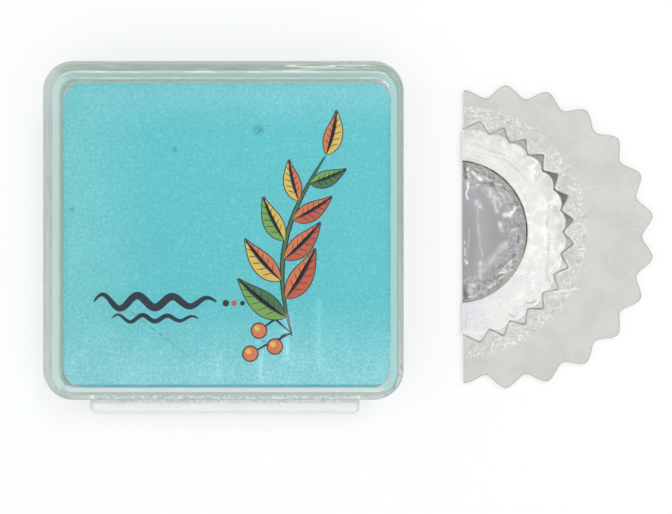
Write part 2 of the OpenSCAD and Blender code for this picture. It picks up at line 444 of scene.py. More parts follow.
# Clear, faintly green polystyrene, with the slow waves of a moulded sheet and fine rubbed scratches.
# Its walls, seen along their height, are greyer and milkier than the thin plate.
where = own_place(node)
waves = noise(node, where, 9.0, 1.0)
rubs = noise(node, drawn_out(node, where, 1.0, 0.12, 1.0), 0.25, 3.0)
inset, lit, level, back, right, near = (
    field(node, name) for name in ("inset", "lit", "level", "back", "right", "near"))
front = minus(node, level, back)
# Long thin painted glints, light and dark, run along each wall, and the front wall is crazed at
# the hinge.
runs = [noise(node, drawn_out(node, where, *scale), 0.45, 3.0, 0.65)
        for scale in ((1.0, 0.1, 1.0), (0.1, 1.0, 1.0))]
run = node("Mix", {0: level, 2: runs[0], 3: runs[1]})
crazed = ease(node, noise(node, where, 0.5, 4.0, 0.75), 0.42, 0.6)
# A painted highlight streak where the streak field lies. The outer band's tone below has painted light by
# side from lit, painted glints, a painted highlight along the outermost edge, and crazing.
streak = times(node, field(node, "streak"), ease(node, run, 0.44, 0.54))
outer_tone = layered(
    node, mix(node, lit, "#bccac4", "#e2e8e5"),
    (ease(node, run, 0.52, 0.66, 0.0, 0.45), "#f2f7f5"),
    (ease(node, run, 0.47, 0.36, 0.0, 0.2), "#86948f"),
    (ease(node, inset, 0.32, 0.0, 0.0, 0.7), "#f2f6f3"),
    (near, mix(node, crazed, "#c0c8c5", "#fdfefd")),
    (streak, "#fffffb"))
# Painted light: the inner band's tone differs by side, from lit and the front and right marks.
inner_tone = layered(
    node, mix(node, lit, "#bcdcd8", "#f0fffd"), (front, "#cfdad9"), (right, "#c6f2ee"))
# Along the front and the back the edges of the walls carry painted reflections as light lines, and
# on the right the gap between the wall and the tongue carries painted shade as a dark one.
lines = [times(node, side, within(node, inset, at, wide))
         for side, at, wide in ((back, 1.18, 0.13), (back, 2.08, 0.1), (front, 1.84, 0.32))]
line = plus(node, lines[0], plus(node, lines[1], lines[2]))
glinting = mix(node, ease(node, run, 0.48, 0.6), "#d3e4e0", "#fcfffe")
wall_tone = layered(
    node, mix(node, ease(node, inset, 1.05, 1.2), outer_tone, inner_tone),
    # Painted shade: a grey tone over the gap between the wall and the card.
    (ease(node, inset, 2.05, 2.2), "#b6cfca"),
    (line, mix(node, back, "#e6f1ee", glinting)),
    (times(node, right, within(node, inset, 1.1, 0.12)), "#a3b7b3"))
# The walls' share of that tone; the rest is clear. On the left and at the back, where the gap
# between the wall and the card is wider, more of its painted shade tone shows, and the painted
# highlight streak is milky too. The upright faces are clear: the milky look is that of the walls
# seen along their height.
share = plus(node, ease(node, inset, 1.95, 2.15, 0.5, 0.0), times(node, line, 0.3))
beside = times(node, field(node, "beside"), ease(node, inset, 2.5, 2.75, 0.45, 0.0))
share = greater(node, share, greater(node, beside, times(node, streak, 0.95)))
share = times(node, share, ease(node, field(node, "flat"), 0.0, 1.0, 0.22, 1.0))
wall = node("BsdfPrincipled", {
    "Base Color": mix(node, ease(node, share, 0.0, 0.4), "#f8fbfa", wall_tone),
    "Roughness": ease(node, plus(node, rubs, times(node, share, 0.4)), 0.45, 0.75, 0.02, 0.1),
    "IOR": 1.55, "Transmission Weight": minus(node, 1.0, share),
    "Normal": bump(node, plus(node, waves, times(node, rubs, 0.02)), 0.5, 0.02)})
passing = node("BsdfTransparent", {"Color": linear("#f0f6f3")})
shadow = node("LightPath").outputs["Is Shadow Ray"]
surface(node, node("MixShader", {0: shadow, 1: wall, 2: passing}))

whitened, node = material("stress_whitened")
# The same plastic where it is thin or has been bent: milky, crazed and glittering at the wall.
near = field(node, "near")
crazed = ease(node, noise(node, own_place(node), 0.5, 4.0, 0.7), 0.4, 0.6)
milky = node("BsdfPrincipled", {
    "Base Color": mix(node, near, "#f6f6f4", mix(node, crazed, "#d6dbd8", "#fefefe")),
    "Roughness": 0.25, "IOR": 1.5,
    "Normal": bump(node, crazed, 0.6, 0.05)})
thin = node("BsdfTransparent", {"Color": linear("#ffffff")})
shadow = node("LightPath").outputs["Is Shadow Ray"]
open_share = greater(node, ease(node, near, 0.0, 1.0, 0.85, 0.25), shadow)
surface(node, node("MixShader", {0: open_share, 1: milky, 2: thin}))

lid_profile = rounded([
    (MIDDLE, LID_CEILING, 0), (INNER, LID_CEILING, 0.25), (INNER, STEP_Z, 0.12), (WALL, STEP_Z, 0.12),
    (WALL, PARTING, 0.1), (0, PARTING, 0.08), (0, LID_TOP, 0.9), (MIDDLE, LID_TOP, 0)], 7)
base_profile = rounded([
    (MIDDLE, FLOOR, 0), (INNER, FLOOR, 0.35), (INNER, TONGUE_TOP, 0.12), (TONGUE, TONGUE_TOP, 0.2),
    (TONGUE, BASE_RIM, 0.1), (0, BASE_RIM, 0.08), (0, 0, 0.9), (MIDDLE, 0, 0)], 7)


def half_case(name, profile, wall, out, low, high, body, node_name):
    """One moulding with its flange, which lies between two heights, and the values its materials read.

    `inset` is how far a point is inside the moved outline, `level` is 1 along the front and the back,
    `back`, `right` and `beside` mark sides, `lit` is the painted light that a side gets, `flat` how
    level a face lies, `near` how whitened it is, and `streak` where a painted highlight lies."""
    profile = with_catch(profile, wall, out)
    tray, (plate, near) = moulding(profile, wall, out), flange(low, high)
    place = tray[0][:, :2] - [CASE_X, CASE_Y] - INSIDE
    over = np.abs(place) - [HALF_W - CASE_R, HALF_D - CASE_R]
    inset = CASE_R - np.hypot(*np.maximum(over, 0).T) - np.minimum(over.max(1), 0)
    level = step(over[:, 1] - over[:, 0], 0, 2)
    front, left = place[:, 1] < 0, place[:, 0] < 0
    back = level * ~front
    # Painted light: each side is lit more towards the front and on the left, the front more than the back.
    forward = step(-place[:, 1], -6, 18)
    side_lit = np.where(left, 0.8 + 0.2 * forward, 0.35 + 0.45 * forward)
    lit_outer = level * np.where(front, 0.45, 0.1) + (1 - level) * side_lit
    lit_inner = level * np.where(front, 0.5, 0.08) + (1 - level) * np.where(left, 0.45, 0.25)
    lit = np.where(inset > 1.12, lit_inner, lit_outer)
    aside, forth = place.T
    # The wall is crazed along the flange, its front right corner is rubbed pale and carries painted
    # glints, the flange's ends carry painted glints, and a painted highlight streak lies along the right
    # half of the back wall.
    crazed = (level * front * (0.4 + 0.6 * (np.abs(aside) < 18.5)) * step(inset, 1.25, 0.95)
              * step(aside, -20, -18))
    rubbed = 0.95 * step(aside, 19, 22) * step(-forth, 14, 20) * step(inset, 1.3, 0.9)
    streak = back * step(aside, 7, 9) * step(-aside, -21, -20) * bell(inset, 0.4, 0.2)
    ends = (0.9 * level * front * bell(np.abs(aside), HINGE_HALF, 0.45)
            * step(inset, 1.5, 1.1))
    fields = {
        "inset": inset, "level": level, "back": back, "lit": lit,
        "beside": (1 - level) * left + 0.6 * back, "right": 0.7 * (1 - level) * ~left,
        "flat": np.repeat(flatness(profile), len(place) // len(profile)),
        "streak": np.maximum(streak, np.maximum(ends, 0.5 * rubbed))}
    crazed = np.maximum(crazed, rubbed)
    fields = {key: np.concatenate([value, 0 * near]) for key, value in fields.items()}
    fields["near"] = np.concatenate([crazed, near])
    parts = [(*tray, 0), (*plate, 1)]
    return piece(name, parts, [clear, whitened], body, [node_name], fields)


half_case("lid_moulding", lid_profile, WALL, GROOVE, *LID_FLANGE, "lid", "case_lid")
half_case("base_moulding", base_profile, TONGUE, BEAD, *BASE_FLANGE, "base", "case_base")


# ---- The living hinge
# A thin web moulded across the outer faces of both flanges. On the real case it bends as the lid
# opens, and the bending has whitened it; here it is a fixed sheet, on no body.
WEB_FRONT, WEB_BACK, WEB_LOW, WEB_HIGH = -24.64, -24.31, 4.0, 5.0
xs, zs = np.meshgrid(np.linspace(-HINGE_HALF, HINGE_HALF, 120), np.linspace(WEB_LOW, WEB_HIGH, 9))
bulge = 0.02 * ripple(xs, zs * 3, 0.8, 5)
front = np.stack([xs + CASE_X, WEB_FRONT + 0.03 + bulge * 0.5, zs], -1)
back = np.stack([xs + CASE_X, np.full_like(xs, WEB_BACK), zs], -1)
hinge = piece("living_hinge", [slab(front, back)], [whitened], None, ["hinge_web"],
              {"near": np.full(2 * xs.size, 0.4)})
middle = (CASE_X * MM, (WEB_FRONT + WEB_BACK) / 2 * MM)
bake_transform(hinge)


# ---- The printed card
# Thin coated card with round corners and a turquoise ground, face up under the lid's top, where
# it has slipped to the right and the hinge. The ink on it is thin plates.
CARD_LOW, CARD_TOP = 7.65, 7.9
half_w, half_d, r = 22.675, 21.15, 2.9
CARD_X, CARD_Y = np.array([CASE_X, CASE_Y]) + INSIDE + [0.29, -0.29]
card_stock, node = material("coated_card")
# A turquoise ground, printed a little unevenly and paler towards the front, the back and the left,
# with light specks of the paper. The cut edge and the back are bare.
where = own_place(node)
x, y, z = (node("SeparateXYZ", {0: where}).outputs[key] for key in "XYZ")
to_front = ease(node, y, -7.5 * MM, -20.5 * MM)
blotch = ease(node, noise(node, where, 5.0, 3.0), 0.3, 0.7)
fleck = ease(node, noise(node, where, 0.36, 3.0, 0.75), 0.4, 0.62)
bare = ease(node, noise(node, where, 0.7, 3.0, 0.8), 0.54, 0.66)
# A painted shadow line along the card's front edge.
edge_y = CARD_Y - half_d
front_edge_shadow = times(node, ease(node, y, (edge_y + 0.3) * MM, (edge_y + 0.65) * MM, 0.62, 0.0),
                   ease(node, y, edge_y * MM, (edge_y + 0.3) * MM, 0.4, 1.0))
# A fine broken scratch runs from (-30.9, -9.9) to (-22.1, -16.7), and four small scuffs lie about.
wear = times(node, within(node, plus(node, times(node, x, 0.773), y), -33.78 * MM, 0.07 * MM),
             times(node, ease(node, x, -31.0 * MM, -30.4 * MM),
                   ease(node, x, -22.8 * MM, -22.0 * MM, 1.0, 0.0)))
for *spot, size in [(-12.9, 15.1, 1.1), (-38.8, 4.0, 0.7), (-12.2, -14.2, 0.3), (-24.5, 12.4, 0.6)]:
    middle = [c * MM for c in (*spot, CARD_TOP)]
    away = node("VectorMath", {0: where, 1: middle}, operation="DISTANCE").outputs["Value"]
    wear = greater(node, wear, ease(node, away, 0.2 * size * MM, size * MM, 0.9, 0.0))
wear = times(node, wear, ease(node, noise(node, where, 0.4, 2.0), 0.4, 0.56, 0.1, 0.75))
ground_ink = layered(
    node, mix(node, ease(node, x, -26 * MM, -39 * MM, 0.0, 0.75), "#6bd9e4", "#97e8ea"),
    (ease(node, y, 14.5 * MM, 20.5 * MM), "#90e2ea"),
    (to_front, "#abedf6"),
    (times(node, blotch, 0.3), "#72d2da"),
    (times(node, fleck, 0.42), "#4db6c4"),
    (times(node, bare, ease(node, to_front, 0.0, 1.0, 0.25, 0.8)), "#b4eef4"),
    (front_edge_shadow, "#4b9aa8"),
    (wear, "#3f8d9a"))
fibre = mix(node, ease(node, noise(node, where, 0.8, 4.0, 0.7), 0.4, 0.65), "#d6d7d2", "#c4c6c1")
printed = ease(node, z, (CARD_TOP - 0.02) * MM, (CARD_TOP - 0.01) * MM)
surface(node, node("BsdfPrincipled", {
    "Base Color": mix(node, printed, fibre, ground_ink), "Roughness": 0.55,
    "Normal": bump(node, fleck, 0.25, 0.02)}))

card_outline = rounded([
    (0, -half_d, 0), (half_w, -half_d, r), (half_w, half_d, r), (-half_w, half_d, r),
    (-half_w, -half_d, r), (-0.1, -half_d, 0)], 13) + [CARD_X, CARD_Y]
piece("printed_card", [prism(card_outline, CARD_LOW, CARD_TOP)], [card_stock], "lid",
      ["label_card"])


def ink(name, code, deep):
    """Printing ink: its colour with a fine mottle towards a deeper one."""
    made, node = material(name)
    spots = ease(node, noise(node, own_place(node), 0.35, 3.0, 0.6), 0.4, 0.75)
    tone = mix(node, times(node, spots, 0.5), code, deep)
    surface(node, node("BsdfPrincipled", {"Base Color": tone, "Roughness": 0.5}))
    return made


INKS = [
    ink("ink_slate", "#10263a", "#0a1a2b"), ink("ink_coral", "#f0814f", "#e06a3f"),
    ink("ink_brick", "#d9603f", "#c64e33"), ink("ink_yellow", "#f5cc62", "#eab548"),
    ink("ink_leaf", "#86b457", "#6fa048"), ink("ink_moss", "#4d7a4c", "#3f6a42")]
SLATE, CORAL, BRICK, YELLOW, LEAF, MOSS = range(6)


def inked(outline, layer, tone):
    """A thin plate of ink in one of the layers above the card, which don't touch."""
    low = 7.905 + 0.008 * layer
    return (*prism(outline, low, low + 0.006), tone)


def stroke(path, width):
    """A pen stroke's outline: on each side of a path, 0.15 + 0.85 sin(pi t)^0.6 of half its width."""
    path = np.array(path, float)
    way = np.gradient(path, axis=0)
    side = np.column_stack([-way[:, 1], way[:, 0]]) / np.linalg.norm(way, axis=1)[:, None]
    t = np.linspace(0, 1, len(path))[:, None]
    half = side * width / 2 * (0.15 + 0.85 * np.sin(np.pi * t) ** 0.6)
    return np.concatenate([path + half, (path - half)[::-1]])


def leaf(root, angle, length, width, bend, tones):
    """A pointed leaf: a curved midrib, sin(pi t^0.8) (1 - 0.25 t) of half its width on each side, a
    dark edge, two tones and veins."""
    t = np.linspace(0, 1, 31)
    turn = math.radians(angle) + bend * t
    rib = root + np.cumsum(np.column_stack([np.cos(turn), np.sin(turn)]) * length / 30, 0)
    side = np.column_stack([-np.sin(turn), np.cos(turn)])
    half = (width / 2 * np.sin(np.pi * t ** 0.8) * (1 - 0.25 * t))[:, None]
    edge = half + 0.14
    made = [inked(np.concatenate([rib + side * edge, (rib - side * edge)[::-1]]), 0, SLATE)]
    for sign, tone in zip((1, -1), tones):
        half_leaf = [rib + side * 0.02 * sign, (rib + side * half * sign)[::-1]]
        made.append(inked(np.concatenate(half_leaf), 1, tone))
    made.append(inked(stroke(rib, 0.22), 2, SLATE))
    for k in range(6, 27, 4):
        for sign in (1, -1):
            reach = np.linspace(0, 0.85, 8)[:, None]
            start = rib[k] + (rib[min(k + 3, 30)] - rib[k]) * reach * 1.3
            vein = start + side[k] * half[min(k + 2, 30)] * sign * reach
            made.append(inked(stroke(vein, 0.11), 2, SLATE))
    return made


def sprig():
    """A stem on a slow curve, leaves turned off it by 52 degrees to each side in turn, and berries."""
    t = np.linspace(0, 1, 60)
    stem = np.column_stack([9.0 + 4.6 * t ** 2 - 2.2 * np.sin(np.pi * t), -14.0 + 25.0 * t])
    parts = [inked(stroke(stem, 0.75), 0, SLATE), inked(stroke(stem[2:-2], 0.38), 1, MOSS)]
    tones = [(LEAF, MOSS), (CORAL, BRICK), (YELLOW, CORAL), (CORAL, BRICK),
             (LEAF, YELLOW), (CORAL, BRICK), (YELLOW, CORAL), (LEAF, MOSS)]
    for k in range(8):
        at = int(6 + 6.4 * k)
        side = 1 if k % 2 else -1
        way = stem[at + 1] - stem[at]
        along = math.degrees(math.atan2(way[1], way[0]))
        parts += leaf(stem[at], along - side * 52, 8.6 - 0.45 * k, 3.5 - 0.16 * k, side * 0.45, tones[k])
    parts += leaf(stem[-1], 62, 6.4, 2.7, 0.5, (CORAL, YELLOW))
    disc = circle(24)
    for x, y in [(4.4, -13.2), (6.6, -15.4), (3.2, -16.4)]:
        twig = np.array([[8.9, -13.6], [(x + 8.9) / 2, y + 1.6], [x, y]])
        twig = np.column_stack([np.interp(np.linspace(0, 2, 16), range(3), twig[:, c]) for c in (0, 1)])
        parts += [
            inked(stroke(twig, 0.3), 0, SLATE), inked(disc * 1.15 + (x, y), 1, SLATE),
            inked(disc * 0.98 + (x, y), 2, CORAL), inked(disc * 0.4 + (x - 0.25, y + 0.3), 3, YELLOW)]
    return parts


def flourish():
    """Two pen waves, one under the other, y = a sin(7 pi t) (1 - 0.5 t), and three dots."""
    t = np.linspace(0, 1, 120)
    parts = []
    for y, a, x0, x1, width in [(-9.2, 1.05, -18.5, -1.5, 1.1), (-11.5, 0.55, -16.0, -4.0, 0.65)]:
        wave = np.column_stack([x0 + (x1 - x0) * t, y + a * np.sin(7 * np.pi * t) * (1 - 0.5 * t)])
        parts.append(inked(stroke(wave, width), 0, SLATE))
    for k, tone in enumerate((SLATE, BRICK, SLATE)):
        parts.append(inked(circle(16) * (0.46 - 0.06 * k) + (-0.2 + 1.15 * k, -9.4), 0, tone))
    return parts


for name, drawing in (("print_sprig", sprig()), ("print_flourish", flourish())):
    placed = [(points + [CARD_X, CARD_Y, 0], faces, tone) for points, faces, tone in drawing]
    piece(name, placed, INKS, "lid")


# ---- The crown
# One stamping in soft bright aluminium: a toothed ring, folded in half. Its leaves clamp the
# films and the reed, and its teeth are coined thin, bent down and pressed into the film.
TOOTH = 360 / 29
ROOT_R, TIP_R, COIN_R, CROWN_END = 14.15, 15.85, 14.4, 14.4
# Heights of the crown's and the front film's upper faces, the crown's thickness and its coining.
LEAF_TOP, FILM_TOP, SHEET, COINED = 0.975, 0.735, 0.23, 0.13
CALL = np.array([FOLD_X, CROWN_Y, 0])
# The window is a circle whose middle lies beyond the fold.
WINDOW_R, WINDOW_BACK = 10.0, 0.9
WINDOW_END = math.sqrt(WINDOW_R ** 2 - WINDOW_BACK ** 2)
# The teeth from the front of the call to its back: how far each tip is bent down, how much painted
# shade the bent metal gets, and how much painted shade lies on the film along the tooth's front and
# back flank.
BENDS = [0.13, 0.17, 0.19, 0.20, 0.18, 0.16, 0.18, 0.28, 0.30, 0.28, 0.18, 0.13, 0.10, 0.08]
TOOTH_SHADES = [0.15, 0.3, 0.32, 0.38, 0.3, 0.28, 0.38, 0.7, 0.85, 0.75, 0.42, 0.14, 0.08, 0.04]
FRONT_FLANKS = [0.6, 0.8, 0.9, 0.9, 0.7, 0.7, 0.9, 1.0, 0.8, 0.8, 1.0, 0.9, 0.8, 0.5]
BACK_FLANKS = [0.4, 0.5, 0.5, 0.6, 0.5, 0.8, 0.7, 0.9, 1.0, 1.0, 1.0, 0.6, 0.5, 0.4]

corners = [(0, -CROWN_END)]
for k in range(-13, 14):
    turn, r = math.radians(k * TOOTH / 2), TIP_R if k % 2 else ROOT_R
    corners.append((r * math.cos(turn), r * math.sin(turn)))
corners.append((0, CROWN_END))
along = np.linspace(0, 28, 28 * 14 + 1)
toothed = np.column_stack([np.interp(along, np.arange(29), c) for c in np.transpose(corners)])
# The sheared corners are a little blunt: each point is the mean of five.
toothed[2:-2] = np.mean([toothed[k:len(toothed) - 4 + k] for k in range(5)], axis=0)
TOOTHED_ANGLE = np.arctan2(toothed[:, 1], toothed[:, 0])
TOOTHED_R = np.hypot(toothed[:, 0], toothed[:, 1])
# Dents in the ring, each (x, y, half its width, half its depth).
DENTS = [(9.6, -10.0, 0.7, 0.16), (12.4, -7.5, 0.25, 0.3), (7.0, -11.8, 0.3, 0.25)]


def per_tooth(values, turn):
    """The value of the tooth that an angle falls in."""
    return np.array(values)[np.clip(np.floor(np.degrees(turn) / TOOTH).astype(int) + 7, 0, 13)]


def across(turn):
    """Where an angle lies across its tooth: -1 and 1 at the valleys in front and behind, 0 at the tip."""
    return (np.degrees(turn) / TOOTH) % 1 * 2 - 1


def past_lobe(x, y):
    """Distance outward from the line where the teeth are bent: an arch over each tooth's root."""
    return np.hypot(x, y) - ROOT_R - 0.6 * (1 - across(np.arctan2(y, x)) ** 2)


def past_window(x, y):
    """Distance outward from the crown's window edge."""
    return np.hypot(x + WINDOW_BACK, y) - WINDOW_R


def coined(x, y):
    """How much of the sheet is coined away: none up to COIN_R, and COINED at TIP_R."""
    return COINED * np.clip((np.hypot(x, y) - COIN_R) / (TIP_R - COIN_R), 0, 1)


def leaf_top(x, y):
    """Height of the crown's upper face: slowly dented, rolled down at the window and the fold, with each
    tooth bent down past its lobe by its bend times t^0.8, where t goes from 0 at the lobe to 1 at
    TIP_R."""
    turn = np.arctan2(y, x)
    z = LEAF_TOP + 0.012 * ripple(x, y, 2.4, 11) + 0.006 * ripple(x, y, 0.8, 12)
    z -= 0.10 * np.clip(1 - past_window(x, y) / 0.2, 0, 1) ** 2 + 0.05 * (1 - step(x, 0, 0.5))
    z -= 0.02 * bell(x, 12.1, 0.12) * step(y, -7.2, -6.2) * step(-y, -4.8, -3.8)
    for dent_x, dent_y, wide, deep in DENTS:
        z -= 0.05 * np.exp(-((x - dent_x) / wide) ** 2 - ((y - dent_y) / deep) ** 2)
    past = past_lobe(x, y)
    z += 0.012 * bell(past, -0.15, 0.12)
    z -= coined(x, y)
    return z - per_tooth(BENDS, turn) * np.clip(past / 1.1, 0, 1) ** 0.8


def outside(x, y):
    """About the distance from the crown's toothed outline to a point outside it."""
    return (np.hypot(x, y) - np.interp(np.arctan2(y, x), TOOTHED_ANGLE, TOOTHED_R)) * 0.7


def leaf_low(x, y):
    """Height of the crown's lower face."""
    return leaf_top(x, y) - (SHEET - coined(x, y))


def film_top(x, y):
    """Height of the front film's face: pressed under the crown, and swollen close round its teeth."""
    flat = FILM_TOP + 0.012 * ripple(x, y, 1.6, 21)
    under = np.minimum(flat, leaf_low(x, y) - 0.015)
    out = outside(x, y)
    swell = (0.05 + 0.03 * ripple(x, y, 1.1, 22)) * bell(out, 0.34, 0.22)
    swell *= step(np.hypot(x, y), 14.0, 14.5)
    return under + (flat - under) * step(out, 0.0, 0.16) + swell


def mirrored(part):
    """A part turned over to the other side of the call's middle plane, z = 0.5."""
    points, faces = part
    return points * [1, 1, -1] + [0, 0, 1], faces


def call_sheet(x, y, high, low, shift=0.0):
    """A sheet of the call between two grids of heights, moved to the right by the shift."""
    place = CALL + [shift, 0, 0]
    return slab(np.stack([x, y, high], -1) + place, np.stack([x, y, low], -1) + place)


def per_point(fields, copies=2, spare=0):
    """Values given on a grid, repeated for each face of its sheets, and 0 at the spare points after."""
    made = {}
    for key, value in fields.items():
        value = value.reshape(-1, 3) if value.ndim == 3 else value.ravel()
        made[key] = np.concatenate([value] * copies + [np.zeros((spare,) + value.shape[1:])])
    return made


def marks(x, y, lines):
    """The strongest of several crooked lines at a point, each (x0, y0, x1, y1, width, strength)."""
    u, v = x + 0.22 * ripple(x, y, 0.9, 71), y + 0.22 * ripple(x, y, 0.8, 72)
    worn = 0.75 + 0.5 * ripple(x, y, 0.5, 73)
    return np.clip(np.max([line[5] * trace(u, v, *line[:5]) for line in lines], axis=0) * worn, 0, 1)


# Columns follow the toothed outline; rows are close at the window's edge and across the teeth.
rows = np.concatenate([np.linspace(0, 0.05, 6)[:-1], np.linspace(0.05, 0.72, 16)[:-1],
                       np.linspace(0.72, 1, 30)])[:, None]
swing = TOOTHED_ANGLE * math.acos(WINDOW_BACK / WINDOW_R) / (np.pi / 2)
inner = np.column_stack([WINDOW_R * np.cos(swing) - WINDOW_BACK, WINDOW_R * np.sin(swing)])
gx = inner[:, 0] * (1 - rows) + toothed[:, 0] * rows
gy = inner[:, 1] * (1 - rows) + toothed[:, 1] * rows
front_leaf = call_sheet(gx, gy, leaf_top(gx, gy), leaf_low(gx, gy))
bend_side = rounded([(0.03, 0.925, 0), (-0.25, 0.925, 0.2), (-0.25, 0.075, 0.2), (0.03, 0.075, 0)], 7)
folds = []
for sign in (1, -1):
    loops = [np.column_stack([bend_side[:, 0], np.full(len(bend_side), sign * y), bend_side[:, 1]]) + CALL
             for y in np.linspace(WINDOW_END + 0.03, CROWN_END - 0.03, 24)]
    folds.append(loft(np.stack(loops)))

aluminium, node = material("soft_aluminium")
# Bright rolled aluminium: soft grey and cream clouds, fine rolling lines, a lavender bloom at the
# front, painted shade on the bent teeth with a painted highlight along their bend, and a ragged dark
# line along the window's edge, weaker towards the front.
ring = field(node, "ring", "Vector")
where = own_place(node)
y = node("SeparateXYZ", {0: where}).outputs["Y"]
streak = noise(node, drawn_out(node, ring, 0.12, 1.0, 1.0), 0.6, 4.0, 0.6)
cloud = ease(node, noise(node, where, 1.5, 4.0, 0.65), 0.4, 0.62)
speck = ease(node, noise(node, where, 0.32, 3.0, 0.7), 0.4, 0.6)
behind = ease(node, y, -6.5 * MM, -1.0 * MM)
bloom = mix(node, ease(node, noise(node, where, 4.0), 0.4, 0.6), "#ebeaf3", "#faf5f1")
bloom = mix(node, ease(node, speck, 0.0, 1.0, 0.1, 0.7), bloom, "#fffdf9")
worn = ease(node, node("SeparateXYZ", {0: ring}).outputs["Y"], 12.6 * MM, 14.2 * MM, 0.25, 1.0)
sheen = mix(node, times(node, minus(node, 1.0, cloud), worn), "#fffef9", "#e6e5df")
streaked = times(node, ease(node, streak, 0.5, 0.7, 0.0, 0.6), ease(node, y, 2 * MM, 8 * MM, 0.3, 1.0))
ragged = ease(node, noise(node, where, 0.4, 2.0), 0.35, 0.55, 0.7, 1.0)
tone = layered(
    node, mix(node, behind, bloom, sheen),
    (streaked, "#dcd9c8"),
    (field(node, "bend_highlight"), "#ffffff"),
    (times(node, field(node, "edge"), ragged), "#3a342c"),
    (field(node, "bent_tooth_shade"), mix(node, speck, "#6f6e67", "#98978f")))
surface(node, node("BsdfPrincipled", {
    "Base Color": tone, "Metallic": 1.0, "Roughness": ease(node, cloud, 0.0, 1.0, 0.4, 0.25),
    "Normal": bump(node, plus(node, streak, times(node, speck, 0.3)), 0.25, 0.02)}))

turn = np.arctan2(gy, gx)
past = past_lobe(gx, gy)
# Dark lines in the ring: fine scores, and painted shade in its dents and along its crease.
SCORES_AND_DENT_SHADE = [
    (12.1, 4.5, 12.1, -7.0, 0.08, 0.4), (8.9, -10.0, 10.5, -9.9, 0.12, 0.4),
    (12.3, -6.9, 12.6, -8.0, 0.12, 0.35), (6.6, -11.7, 7.6, -12.2, 0.14, 0.35),
    (5.5, 10.6, 8.3, 8.6, 0.07, 0.2), (3.2, 12.3, 6.2, 10.9, 0.07, 0.2), (9.0, 9.2, 10.6, 7.4, 0.2, 0.15),
    (12.9, 4.0, 13.4, 2.0, 0.3, 0.15)]
edge_strength = 1 - 0.55 * step(-np.degrees(turn), 0, 40)
# Per point: a painted highlight along each tooth's bend, painted shade on the bent metal, and the dark line
# along the window with the scores and the painted shade in the dents.
fields = {
    "ring": np.stack([turn * 12 * MM, np.hypot(gx, gy) * MM, 0 * gx], -1),
    "edge": np.maximum((1 - step(past_window(gx, gy), 0.1, 0.28)) * edge_strength, marks(gx, gy, SCORES_AND_DENT_SHADE)),
    "bend_highlight": bell(past, -0.12, 0.1) * (0.15 + 0.8 * per_tooth(TOOTH_SHADES, turn)),
    "bent_tooth_shade": per_tooth(TOOTH_SHADES, turn) * step(past, 0.0, 0.1)}
spare = sum(len(points) for points, _ in folds)
piece("crown_stamping", [front_leaf, mirrored(front_leaf), *folds], [aluminium], "call",
      ["crown_frame"], per_point(fields, 4, spare), 50)


# ---- The skirt
# Two scalloped films of frosted polyester, bonded over the reed. Their window is a little
# smaller than the crown's, and the bond shows as a wrinkled band at the reed's rim, with painted glints.
PITCH, TIPS, SKIRT_TIP_R, SKIRT_ROOT_R, WAVE = math.radians(16.15), 14, 21.5, 19.8, 0.7
REED_R, SKIRT_GAP = 17.7, 0.2
# The front film's lower face over the reed and beyond it.
FILM_LOW, FILM_JOIN = 0.555, 0.505


def skirt_radius(a):
    """Radius of the scalloped outline: a triangle wave in the angle, rounded by acos(0.7 cos)."""
    low = math.acos(WAVE)
    share = (np.arccos(WAVE * np.cos(2 * np.pi * a / PITCH + np.pi)) - low) / (math.pi - 2 * low)
    return SKIRT_TIP_R - (SKIRT_TIP_R - SKIRT_ROOT_R) * share


span = PITCH * (TIPS - 1) / 2
a = np.linspace(-span, span, 13 * 34 + 1)
skirt_r = skirt_radius(a)
rim_x, rim_y = SKIRT_X - FOLD_X + skirt_r * np.cos(a), SKIRT_Y - CROWN_Y + skirt_r * np.sin(a)
rim_x[[0, -1]] = SKIRT_GAP
rim_r = np.hypot(rim_x, rim_y)
w = a / span * np.pi / 2
window_r = 7.45 + 0.6 * np.cos(w) ** 2 + 0.12 * ripple(w * 8, w * 0, 0.7, 31)
# Radii of the rows: close in the window, closest across the teeth, close again at the rim.
stations = [window_r, 10.2 + 0 * w, 13.9 + 0 * w, 16.4 + 0 * w, 18.2 + 0 * w, rim_r - 0.3, rim_r]
runs = zip(stations, stations[1:], (20, 7, 40, 12, 10, 5))
radii = np.concatenate([np.linspace(s, e, n, endpoint=False) for s, e, n in runs] + [rim_r[None]])
rows = (radii - window_r) / (rim_r - window_r)
fx = np.maximum(window_r * np.cos(w), SKIRT_GAP) * (1 - rows) + rim_x * rows
fy = window_r * np.sin(w) * (1 - rows) + rim_y * rows
fr, turn, out = np.hypot(fx, fy), np.arctan2(fy, fx), outside(fx, fy)
to_rim = rim_r - fr
slow = ripple(fx, fy, 3.1, 41)
wrinkle = 1 - np.abs(ripple(fx, fy, 0.9, 42)) * 2
band = step(out, 0.2, 0.6) * (1 - step(fr, 17.2, 17.8))
bond = np.clip(bell(fr - REED_R, -0.3, 0.42) + 0.75 * band, 0, 1) * step(slow, -1.5, 0.0)
rim_line = bell(fr - REED_R + 0.1 + 0.1 * ripple(fx, fy, 1.5, 46), 0, 0.08) * step(slow, -0.2, 0.6)
inside = 1 - step(past_window(fx, fy), -0.3, 0.0)
